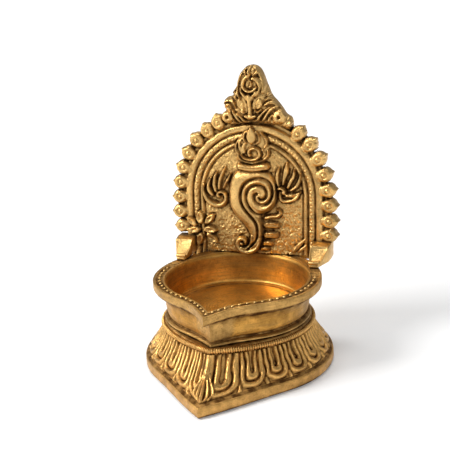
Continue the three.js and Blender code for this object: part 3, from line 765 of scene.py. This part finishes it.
# Five ribs step down behind the tail, the top one with a hook.
raised_line([(6.6, 59.9, 0.9), (9.6, 60.6, 1), (12.2, 60.9, 1), (13.8, 62.2, 0.8),
             (13.5, 63.9, 0.6), (12, 64.3, 0.4)], ground + 0.6, 1.5)
for left, right, height, depth in ((6.9, 13.4, 56.1, 1.7), (6.7, 12.9, 51.1, 1.7),
                                   (5.8, 10.2, 46.8, 1.35), (4.4, 8, 44, 1)):
    raised_line([(left, height, depth), ((left + right) / 2, height + 0.1, depth),
                 (right - depth, height, depth * 0.95)], ground + 0.3, 1.5)
    raised_line([(left, height + depth * 0.55, 0.5), ((left + right) / 2, height + depth * 0.75, 0.6),
                 (right - 0.8, height + depth * 0.6, 0.5)], ground + 1.2, 1.1, 0.15)

# Collar and crown over the shell.
raised_line([(-5.7, 85.4, 1.7), (0, 84.7, 1.8), (7, 85.7, 1.8)], ground + 1.3, 2.3)
cut_line([(-6.8, 85.2, 0.3), (0, 84.4, 0.35), (8.2, 85.2, 0.35)], 0.7)
crown_depth = outline_depth(curved([
    (-7.6, 88.4), (-8.3, 92.5), (-8.2, 96.5), (-6, 100), (-3.6, 103), (0, 105.2), (4.2, 102.8),
    (7.4, 99.4), (8.6, 95.6), (8.6, 91.5), (7, 88.2), (0, 87), (-7.6, 88.4),
], 4)[:-1])
raise_shape(crown_depth, ground, ground + 1.5, 2.2)
for points in (
    [(-6.9, 90.6, 0.5), (-5.4, 88.7, 0.6), (-2.5, 87.6, 0.6), (1.5, 87.5, 0.6), (5.2, 88.6, 0.5)],
    [(-6.2, 98.6, 0.4), (-7.7, 96, 0.6), (-7.8, 93.4, 0.65), (-6.4, 91.2, 0.6)],
    [(-4.6, 99.4, 0.4), (-6, 96.8, 0.6), (-5.7, 94.2, 0.7), (-4.6, 92, 0.7)],
    [(-3.4, 96.3, 0.7), (-4.2, 94.4, 1.1), (-3.6, 92.4, 0.9)],
    [(-1, 103.2, 0.4), (-3.2, 101.8, 0.55), (-3.9, 99.2, 0.55), (-2.6, 96.9, 0.4)],
    [(2.4, 102.6, 0.4), (4, 100.2, 0.5), (3.9, 98, 0.5), (2.6, 96.6, 0.4)],
    [(4.9, 102, 0.5), (7.2, 99.4, 0.6), (7.7, 96.6, 0.6), (6.5, 94.9, 0.5)],
    [(8.4, 93.4, 0.45), (7.9, 90.8, 0.6), (6, 88.9, 0.5)],
    [(5.4, 93.6, 0.4), (6.7, 91.9, 0.7), (5.6, 90, 0.5)],
):
    raised_line(points, ground + 1.3, 1.2, 0.4)
raised_line([
    (-0.7, 91, 0.85), (-1.3, 92.4, 0.75), (-0.4, 94, 0.75), (1.6, 94.6, 0.8),
    (3.6, 93.8, 0.8), (4.3, 91.9, 0.8), (3.5, 90, 0.75), (1.2, 89, 0.75), (-1.6, 89, 0.7),
    (-4, 89.9, 0.6), (-5.2, 91.3, 0.4),
], ground + 1.8, 1.7, 0.7)
petal((0.1, 96.4), (0.1, 105), 4.9, ground + 1.5, 1.6, 0)

# Wings: a hooked feather below, with tongues that fan out of it.
raised_line([
    (-24.9, 75.4, 0.35), (-25, 72.2, 0.75), (-24, 69.1, 1.15), (-22, 66.9, 1.4),
    (-19.2, 65.5, 1.45), (-16.4, 65.5, 1.3), (-14.4, 66.9, 1.1), (-13.7, 69.2, 1),
    (-14.2, 71.3, 0.9), (-15.9, 72.2, 0.8), (-17.6, 71.6, 0.8), (-18.2, 70.4, 0.7),
], ground + 0.5, 2)
dome(-17.4, 69.9, 1.1, 1.1, ground + 0.6, 1.6)
for points in (
    [(-20.5, 70.4, 0.9), (-22.3, 72.6, 1), (-22.6, 75.6, 0.9), (-21, 79.4, 0.4)],
    [(-18.8, 72.6, 0.9), (-19.5, 75.8, 1.05), (-19.2, 79.2, 0.9), (-17.8, 82.4, 0.35)],
    [(-17, 73.9, 0.8), (-16.7, 77.4, 1), (-15.4, 81, 0.9), (-13.4, 84.8, 0.35)],
    [(-14.8, 74.2, 0.6), (-13.4, 76.9, 0.8), (-11.9, 79.4, 0.75), (-11.1, 81.6, 0.3)],
    [(13.2, 76.2, 0.6), (12.6, 79.4, 0.95), (12.8, 82.4, 0.9), (13.7, 85.2, 0.35)],
    [(15.5, 77, 0.6), (16.1, 80.2, 1), (17, 83.6, 1.35), (17.6, 87.6, 0.4)],
    [(17.9, 75.6, 0.8), (19.3, 78.6, 1.05), (20.7, 81.2, 1), (21, 84.6, 0.4)],
    [(19.2, 74.2, 0.7), (21.6, 75.8, 0.95), (23.3, 78.6, 0.9), (24.2, 82.6, 0.35)],
    [(17, 71.6, 0.8), (19.6, 71.6, 1.1), (22, 72, 1), (24, 73.4, 0.4)],
):
    raised_line(points, ground + 0.5, 1.7)
cut_line([(17, 85, 0.25), (16.9, 83, 0.5), (16.6, 81.4, 0.25)], 0.6)
cut_line([(18.2, 71.7, 0.2), (20.4, 71.5, 0.4), (22.2, 72.2, 0.2)], 0.5)
raised_line([
    (13.1, 74.8, 0.6), (14.6, 75, 0.8), (16, 73.9, 0.95), (15.9, 72.6, 0.9), (15.2, 73, 0.7),
], ground + 1, 1.7)
raised_line([
    (14, 73.2, 0.5), (14, 70.8, 0.75), (14.7, 69.1, 0.85), (16.8, 68.6, 0.9),
    (19.4, 69.2, 0.9), (21.6, 70.2, 0.8), (23.2, 72, 0.4),
], ground + 0.5, 1.8)

# A flower on the left and a slender leaf on the right fill the lower corners.
for base, tip, width in (
    ((-27.4, 55.2), (-27.6, 62.2), 3.7), ((-24.8, 55.6), (-19.9, 60.8), 3.2),
    ((-25.9, 52.6), (-18.3, 52.4), 3.5), ((-24.3, 50.6), (-18.4, 45.6), 3.2),
    ((-27.2, 50.8), (-28.9, 43.6), 3.4), ((-27.3, 52.5), (-34.8, 51.6), 3.4),
    ((-29.2, 54.4), (-34.8, 58.6), 3),
):
    petal(base, tip, width * 1.15, ground + 0.6, 2, 0.6, 0.7)
petal((19.5, 42.6), (26.5, 50.4), 2.2, ground + 0.1, 1.1, 0.3)
petal((22.5, 43), (27, 47), 1.8, ground + 0.1, 0.9, 0.3)

# Border drops: each is a round boss drawn out to a point, with an eyelet punched in it.
drop_radius, drop_neck = 3.6, 3.62
web = np.minimum(36.9 - arch, face_z - 50)
raise_shape(web, 1.5, 3.3, 0.5)
outline = np.maximum(outline, web)
for side, places in (
    (1, [(38, 52), (38.2, 59.2), (38, 66.8), (37.3, 74.4), (35.6, 82), (32.7, 89.6),
         (28.4, 96.5), (22.9, 101.8)]),
    (-1, [(-37.6, 53.7), (-38.5, 61.2), (-38.3, 68.7), (-37.6, 76.2), (-36, 83.8),
          (-33, 91), (-28.6, 97.6), (-22.9, 102.4), (-17.3, 106.6)]),
):
    for x, z in places:
        out = math.atan2(z - arch_height, x) if z > arch_height else (0 if side > 0 else math.pi)
        ux, uz = math.cos(out), math.sin(out)
        px, pz = face_x - x, face_z - z
        forward, sideways = px * ux + pz * uz, np.abs(px * uz - pz * ux)
        point = ((4.5 if side > 0 else 4.4) - forward) * 0.72 - sideways * 0.66
        wedge = np.minimum(point, forward)
        body_depth = drop_radius - np.hypot(np.where(forward < 0, forward * 0.8, forward), sideways)
        depth = np.maximum(body_depth, wedge)
        depth = np.where(sideways > drop_neck, -1, depth)
        thick -= np.where(depth <= 0, 0.6 * np.exp(-(depth / 0.45) ** 2), 0) * (panel_depth > 0)
        raise_shape(depth, 2.6, ground + 1.1, 1.6)
        outline = np.maximum(outline, depth)
        eyelet(x - ux * 0.4, z - uz * 0.4, 1.3, 0.8)

# The crest: a hooded lion mask with round ear rings.
crest = outline_depth(curved([
    (0.2, 134.3), (-2.5, 133.6), (-4.6, 131.8), (-6.1, 129.3), (-7, 126.6), (-7.5, 124.2),
    (-9.2, 121.6), (-10.2, 119.4), (-12.6, 118.7), (-14.3, 116.8), (-14.3, 114.6),
    (-13.6, 112.2), (-15, 109.8), (-14.4, 106.9), (-12.2, 105.2), (-6, 105.2), (0, 106.2),
    (7, 105.4), (13, 105), (18.6, 103.2), (19.9, 106), (19.2, 109.2), (16.6, 111),
    (14.9, 113.6), (12.6, 116.6), (10, 119.4), (9, 121.2), (8, 123.8), (7.2, 125.6),
    (6.5, 127.6), (5.5, 130.2), (4.2, 132.4), (2.3, 133.8), (0.2, 134.3),
], 4)[:-1])
forehead = 1.6 * np.exp(-((face_x / 7) ** 2 + ((face_z - 120) / 13) ** 2))
crest_top = crowned(crest, 0.9, ground + 1.5, 3.4) + forehead * np.clip(crest / 4, 0, 1)
thick = np.where(crest > 0, np.maximum(thick, crest_top), thick)
outline = np.maximum(outline, crest)
mask = ground + 2.0
under_mask = thick - 0.15
for points in (
    # hood
    [(-2.2, 132.6, 0.6), (-4.4, 130.6, 0.8), (-5.8, 127.6, 0.8), (-6.5, 124.4, 0.8),
     (-6.2, 121.2, 0.8), (-5, 118.8, 0.5)],
    [(2.2, 133, 0.6), (4.2, 131, 0.9), (5.6, 128.2, 1), (6.4, 124.8, 1),
     (6.2, 121.6, 0.7)],
    [(0, 133.6, 0.7), (-0.6, 131.6, 0.8), (-0.2, 129.6, 0.8)],
    [(-3.8, 131, 0.3), (-2.6, 131, 0.6), (-1.9, 129.6, 0.4)],
    [(3.9, 131.2, 0.3), (2.9, 130.6, 0.6), (1.6, 129.4, 0.5)],
    [(-0.2, 129, 0.6), (-2.2, 128.4, 0.9), (-3.4, 126.2, 1), (-3.3, 124, 0.9),
     (-1.8, 122.5, 0.8), (0.2, 121.9, 0.8), (2.2, 122.6, 0.8), (3.3, 124, 0.7)],
    [(1.4, 128.2, 0.7), (3.4, 127.6, 1.2), (4.4, 126, 1), (4.9, 123.9, 0.7),
     (4.2, 121.8, 0.6), (2.8, 119.9, 0.5)],
    [(0.9, 126.6, 0.5), (0.9, 125, 0.7), (0.3, 123.9, 0.6)],
    # brow, nose and cheeks
    [(-4.6, 123.6, 0.5), (-4, 121.6, 0.7), (-2.2, 119.6, 0.9), (-0.6, 117.6, 0.9)],
    [(3.4, 122, 0.5), (1.8, 120.2, 0.7), (0.4, 118, 0.9)],
    [(-0.3, 119.6, 1.3), (-0.2, 116, 1), (0, 112.6, 1), (0, 110.6, 1.3)],
    [(-2.4, 110.2, 0.8), (-0.9, 109.6, 1.1), (0.9, 109.6, 1.1), (2.6, 110.2, 0.8)],
    [(-2.9, 113.2, 0.4), (-4.3, 112.6, 0.7), (-3, 111.6, 0.6)],
    [(2.4, 113, 0.4), (3.9, 112.2, 0.6), (5.6, 113.4, 0.5)],
    # lips and whiskers
    [(-0.8, 107.4, 0.5), (-3.2, 107.6, 0.8), (-4.6, 109.4, 0.7), (-6.8, 111.2, 0.5)],
    [(-4.6, 106.8, 0.5), (-6.4, 108.8, 0.8), (-8.2, 111.4, 0.7), (-9.2, 113.4, 0.4)],
    [(-6.4, 106, 0.4), (-8.2, 107.4, 0.6), (-8.9, 108.8, 0.4)],
    [(1.4, 107.6, 0.5), (3.6, 108.4, 0.7), (4.8, 110.2, 0.7), (7.4, 112.8, 0.6), (10, 114.8, 0.4)],
    [(5.4, 107.2, 0.4), (6.9, 109, 0.7), (8.6, 111.6, 0.7), (10.6, 113.8, 0.7), (13.8, 115.4, 0.5)],
    [(8.4, 106.8, 0.4), (9.4, 109, 0.6), (10.4, 110.8, 0.4)],
    # curls over the ears
    [(-13.6, 115.9, 0.5), (-12.2, 117.3, 0.7), (-9.9, 117.6, 0.8), (-8.1, 116.3, 0.7), (-7.4, 114.2, 0.4)],
    [(-13.2, 114, 0.4), (-11.6, 115.6, 0.6), (-9.8, 114.9, 0.5), (-9.4, 113.4, 0.4)],
    [(-9.4, 120.9, 0.4), (-8.2, 122.6, 0.7), (-7.6, 124, 0.4)],
    [(-9.6, 119.3, 0.4), (-7.8, 119.2, 0.6), (-6.2, 117.6, 0.5)],
    [(9, 123.4, 0.4), (9.3, 121.6, 0.7), (8.2, 119.9, 0.6)],
    [(7.4, 117.6, 0.4), (9, 118.7, 0.8), (11, 118.3, 0.8), (13.4, 116.4, 0.5)],
    [(7.2, 115.4, 0.5), (9.2, 116.8, 0.8), (11.6, 116.4, 0.8), (14.4, 114.6, 0.5)],
):
    raised_line(points, under_mask, 1.6, 0.8)
petal((-5.9, 118.4), (-3.4, 112.9), 3.8, mask - 0.2, 1.5, 0.1)
petal((5.2, 118.6), (3.7, 113.2), 3.6, mask - 0.2, 1.5, 0.1)
cut_line([(-3.9, 116.4, 0.2), (-4.8, 115.6, 0.3), (-5.8, 115.9, 0.2)], 0.5)
cut_line([(3.4, 116.2, 0.2), (4.3, 115.6, 0.3), (5.2, 116, 0.2)], 0.5)
for x, z, radius in ((-11.8, 109.4, 3), (13.9, 109.7, 3.5)):
    dome(x, z, radius, radius, ground + 0.6, 2, 0.8)
    away = np.hypot(face_x - x, face_z - z)
    thick -= 2.4 * np.exp(-(away / 0.75) ** 4)
dome(19, 106.2, 1.3, 1.3, ground + 0.6, 0.9, 0.2)

# The casting is softened a little all over, as metal poured in sand is.
thick = np.where(outline > 0.6, softened(thick, 2, 2), thick)
hollowness = softened(thick, 1, 14) - thick
plate_stain = np.clip(hollowness * 2.0 - 0.05, 0, 1) * np.clip(outline / 1.2, 0, 1)

# The grid is drawn in to the outline, what lies outside is cut off, and the edge is drawn
# back to a flat behind.
plate, column, row = grid_piece("back_plate_casting", across_cells, up_cells)
spots = np.stack([face_x[row, column], face_z[row, column], thick[row, column]], axis=-1)
slope_z, slope_x = np.gradient(outline, plate_cell)
depth = outline[row, column]
slope = np.stack([slope_x[row, column], slope_z[row, column]], axis=-1)
slope /= np.maximum(np.linalg.norm(slope, axis=-1, keepdims=True), 0.2)
outside = depth < 0
spots[outside, :2] -= slope[outside] * np.maximum(depth[outside], -1.5 * plate_cell)[:, None]
spots[outside, 2] = np.where(spots[outside, 1] > 105, 0.9, 1.2)
place_skin(plate, spots, plate_stain[row, column])
faces = np.zeros(len(plate.data.polygons) * 4, int)
plate.data.polygons.foreach_get("vertices", faces)
off_plate = (depth[faces.reshape(-1, 4)] <= 0).all(axis=1)
bpy.ops.object.mode_set(mode="EDIT")
bpy.ops.mesh.select_mode(type="FACE")
bpy.ops.mesh.select_all(action="DESELECT")
bpy.ops.object.mode_set(mode="OBJECT")
plate.data.polygons.foreach_set("select", off_plate)
bpy.ops.object.mode_set(mode="EDIT")
bpy.ops.mesh.delete(type="FACE")
bpy.ops.mesh.select_mode(type="VERT")
bpy.ops.mesh.select_all(action="SELECT")
bpy.ops.mesh.remove_doubles(threshold=0.02 * mm)
bpy.ops.mesh.select_all(action="DESELECT")
bpy.ops.mesh.select_non_manifold(extend=False, use_wire=False, use_multi_face=False, use_verts=False)
bpy.ops.mesh.extrude_edges_move()
bpy.ops.transform.resize(value=(1, 1, 0), center_override=(0, 0, 0))
bpy.ops.mesh.fill(use_beauty=True)
bpy.ops.object.mode_set(mode="OBJECT")
# Stand it up on the rim, leaning back a little.
upright = np.zeros(len(plate.data.vertices) * 3)
plate.data.vertices.foreach_get("co", upright)
x, z, w = (upright.reshape(-1, 3) / mm).T
rise = z - plate_stand - 0.3
upright = np.stack([
    x,
    plate_back - w * math.cos(plate_lean) + rise * math.sin(plate_lean),
    plate_stand + w * math.sin(plate_lean) + rise * math.cos(plate_lean),
], axis=-1)
plate.data.vertices.foreach_set("co", ((upright + bowl_axis) * mm).ravel())
plate.data.update()
select_only(plate)
bpy.ops.object.mode_set(mode="EDIT")
bpy.ops.mesh.select_all(action="SELECT")
bpy.ops.mesh.normals_make_consistent(inside=False)
bpy.ops.object.mode_set(mode="OBJECT")
bpy.ops.object.shade_smooth_by_angle(angle=math.radians(55))
for face in plate.data.polygons:  # the back is one flat
    if face.normal.y > 0.97:
        face.use_smooth = False
plate.data.materials.append(cast_brass)
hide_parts("back_plate")
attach(plate, "plate")


# ---- Feet ----
# Two solid feet cast on the bottom corners of the plate. Each slopes down to a rolled toe
# on the rim and has a peg fixed in it from below.

foot_stations = [  # from the toe to the back: behind the axis, inner side, outer side, top
    (15.7, 31.2, 35.4, 42.4), (16.6, 30.9, 35.7, 43.2), (18.0, 30.6, 36.2, 43.5),
    (21.4, 30.2, 37.5, 45.6), (25.2, 30.0, 38.9, 48.9), (30.0, 30.0, 39.3, 49.4),
    (36.1, 30.0, 39.3, 49.0),
]


def rounded(piece, width, angle):
    """Round off the edges sharper than an angle on the piece that is being made."""
    bevel = piece.modifiers.new("rounded arrises", "BEVEL")
    bevel.width = width * mm
    bevel.segments = 3
    bevel.limit_method = "ANGLE"
    bevel.angle_limit = math.radians(angle)
    bpy.ops.object.modifier_apply(modifier=bevel.name)


for side, foot_name in ((-1, "left_foot"), (1, "right_foot")):
    deselect_all()
    bpy.ops.mesh.primitive_grid_add(x_subdivisions=4, y_subdivisions=len(foot_stations) - 1, size=2)
    foot = bpy.context.object
    foot.name = foot_name
    last_station = len(foot_stations) - 1
    for vertex in foot.data.vertices:
        y, inner, outer, top = foot_stations[round((vertex.co.y + 1) / 2 * last_station)]
        corner = round((vertex.co.x + 1) * 2)
        # Each station is a closed four-cornered loop; the fifth point repeats the first.
        across = (inner, outer, outer, inner, inner)[corner]
        high = (top, top - 0.25, plate_stand, plate_stand, top)[corner]
        vertex.co = (side * across * mm, (y + bowl_axis[1]) * mm, high * mm)
    bpy.ops.object.mode_set(mode="EDIT")
    bpy.ops.mesh.select_all(action="SELECT")
    bpy.ops.mesh.remove_doubles(threshold=1e-6)
    bpy.ops.mesh.select_all(action="DESELECT")
    bpy.ops.mesh.select_non_manifold(extend=False)
    bpy.ops.mesh.edge_face_add()
    bpy.ops.mesh.select_all(action="SELECT")
    bpy.ops.mesh.normals_make_consistent(inside=False)
    bpy.ops.mesh.select_mode(type="FACE")
    bpy.ops.mesh.select_all(action="DESELECT")
    bpy.ops.object.mode_set(mode="OBJECT")
    for face in foot.data.polygons:
        behind = face.center.y / mm - bowl_axis[1]
        face.select = bool(face.normal.z > 0.3 and 18.0 < behind < 25.2)
    bpy.ops.object.mode_set(mode="EDIT")
    bpy.ops.mesh.inset(thickness=1.1 * mm, depth=-0.7 * mm)
    bpy.ops.mesh.select_mode(type="VERT")
    bpy.ops.object.mode_set(mode="OBJECT")
    rounded(foot, 0.5, 22)
    # A rolled lip across the toe, a little askew.
    deselect_all()
    bpy.ops.mesh.primitive_cylinder_add(
        vertices=24, radius=0.85 * mm, depth=5.0 * mm,
        location=(side * 33.3 * mm, (16.3 + bowl_axis[1]) * mm, 43.3 * mm),
        rotation=(0, math.pi / 2, side * 0.06),
    )
    rounded(bpy.context.object, 0.3, 40)
    bpy.ops.object.transform_apply(location=True, rotation=True, scale=True)
    foot.select_set(True)
    bpy.context.view_layer.objects.active = foot
    bpy.ops.object.join()
    bpy.ops.object.shade_smooth_by_angle(angle=math.radians(40))
    foot.data.materials.append(cast_brass)
    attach(foot, "plate")


# ---- Clamp ----
# A brass stud screwed up into the boss under the bowl, with a brass washer and a plated
# steel nut that draw the bowl down on the deck.


def finish_nodes(names, finish):
    """Give the parts that come from the frame their metal."""
    for name in names:
        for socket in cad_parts[name].material_slots:
            socket.material = finish


rod_brass = brass("rod brass", (0.72, 0.50, 0.20), (0.14, 0.07, 0.02), 0.25, 0.12)
steel = brass("plated steel", (0.62, 0.61, 0.58), (0.12, 0.10, 0.08), 0.30, 0.15)
finish_nodes(["clamp_stud", "clamp_washer"], rod_brass)
finish_nodes(["clamp_nut"], steel)


# ---- Pegs ----
# Two short pins of brass rod, fixed in the feet, that drop into holes in the rim and let
# the back plate lift straight off.

finish_nodes(["left_peg", "right_peg"], rod_brass)


# ---- Floor, light and camera ----
# A plain pale floor, a large soft lamp from the front left, and a weaker one on the right.

deselect_all()
bpy.ops.mesh.primitive_plane_add(size=12, location=(0, 0, -0.0002))
floor = bpy.context.object
floor.name = "floor"
paper = bpy.data.materials.new("pale paper")
paper.use_nodes = True
paper_tree = paper.node_tree
sheet = paper_tree.nodes["Principled BSDF"].inputs
sheet["Base Color"].default_value = (0.9, 0.9, 0.9, 1)
sheet["Roughness"].default_value = 0.8
sheet["Emission Color"].default_value = (1, 1, 1, 1)
floor_place = add_node(paper_tree, "TexCoord", "Object", {})
far_out = add_node(paper_tree, "VectorMath", "Value", {0: floor_place}, operation="LENGTH")
glow = add_node(paper_tree, "MapRange", "Result", {
    "Value": far_out, "From Min": 0.2, "From Max": 2.2, "To Min": 0.12, "To Max": 0.85})
paper_tree.links.new(glow, sheet["Emission Strength"])
floor.data.materials.append(paper)

world = bpy.data.worlds.new("studio")
bpy.context.scene.world = world
world.use_nodes = True
room = world.node_tree.nodes["Background"]
room.inputs["Color"].default_value = (0.30, 0.30, 0.30, 1)
seen = add_node(world.node_tree, "LightPath", "Is Camera Ray", {})
plain = add_node(world.node_tree, "Background", 0, {"Color": (1, 1, 1, 1)})
either = add_node(world.node_tree, "MixShader", 0, {"Fac": seen, 1: room.outputs[0], 2: plain})
world.node_tree.links.new(either, world.node_tree.nodes["World Output"].inputs["Surface"])
bpy.context.scene.view_settings.view_transform = "Standard"


def lamp(name, place, aim, width, height, power):
    light = bpy.data.lights.new(name, "AREA")
    light.shape = "RECTANGLE"
    light.size, light.size_y = width, height
    light.energy = power
    holder = bpy.data.objects.new(name, light)
    bpy.context.scene.collection.objects.link(holder)
    holder.location = place
    holder.rotation_euler = (Vector(aim) - Vector(place)).to_track_quat("-Z", "Y").to_euler()


lamp("key", (-1.0, -0.55, 0.95), (0, 0, 0.06), 0.6, 0.6, 20)
lamp("top", (-0.1, 0.35, 1.3), (0, 0, 0.05), 0.6, 0.4, 7)
lamp("fill", (0.9, -0.9, 0.6), (0, 0, 0.06), 0.3, 0.6, 2.5)

camera_data = bpy.data.cameras.new("camera")
camera = bpy.data.objects.new("camera", camera_data)
bpy.context.scene.collection.objects.link(camera)
bpy.context.scene.camera = camera
camera_data.lens = 79.33
camera_data.sensor_width = 36
camera_data.clip_start = 0.01
azimuth, elevation, roll = math.radians(17.57), math.radians(17.54), math.radians(-2.59)
away = Vector((math.sin(azimuth) * math.cos(elevation), -math.cos(azimuth) * math.cos(elevation),
               math.sin(elevation)))
right = Vector((math.cos(azimuth), math.sin(azimuth), 0))
up = away.cross(right)
aim = Vector(bowl_axis * mm) + Vector((0, 0, 0.045)) + right * -0.0044 + up * 0.02013
turned_right = right * math.cos(roll) + up * math.sin(roll)
turned_up = up * math.cos(roll) - right * math.sin(roll)
camera_distance = 0.46456
camera.matrix_world = Matrix.Translation(aim + away * camera_distance) @ Matrix(
    (turned_right, turned_up, away)).transposed().to_4x4()
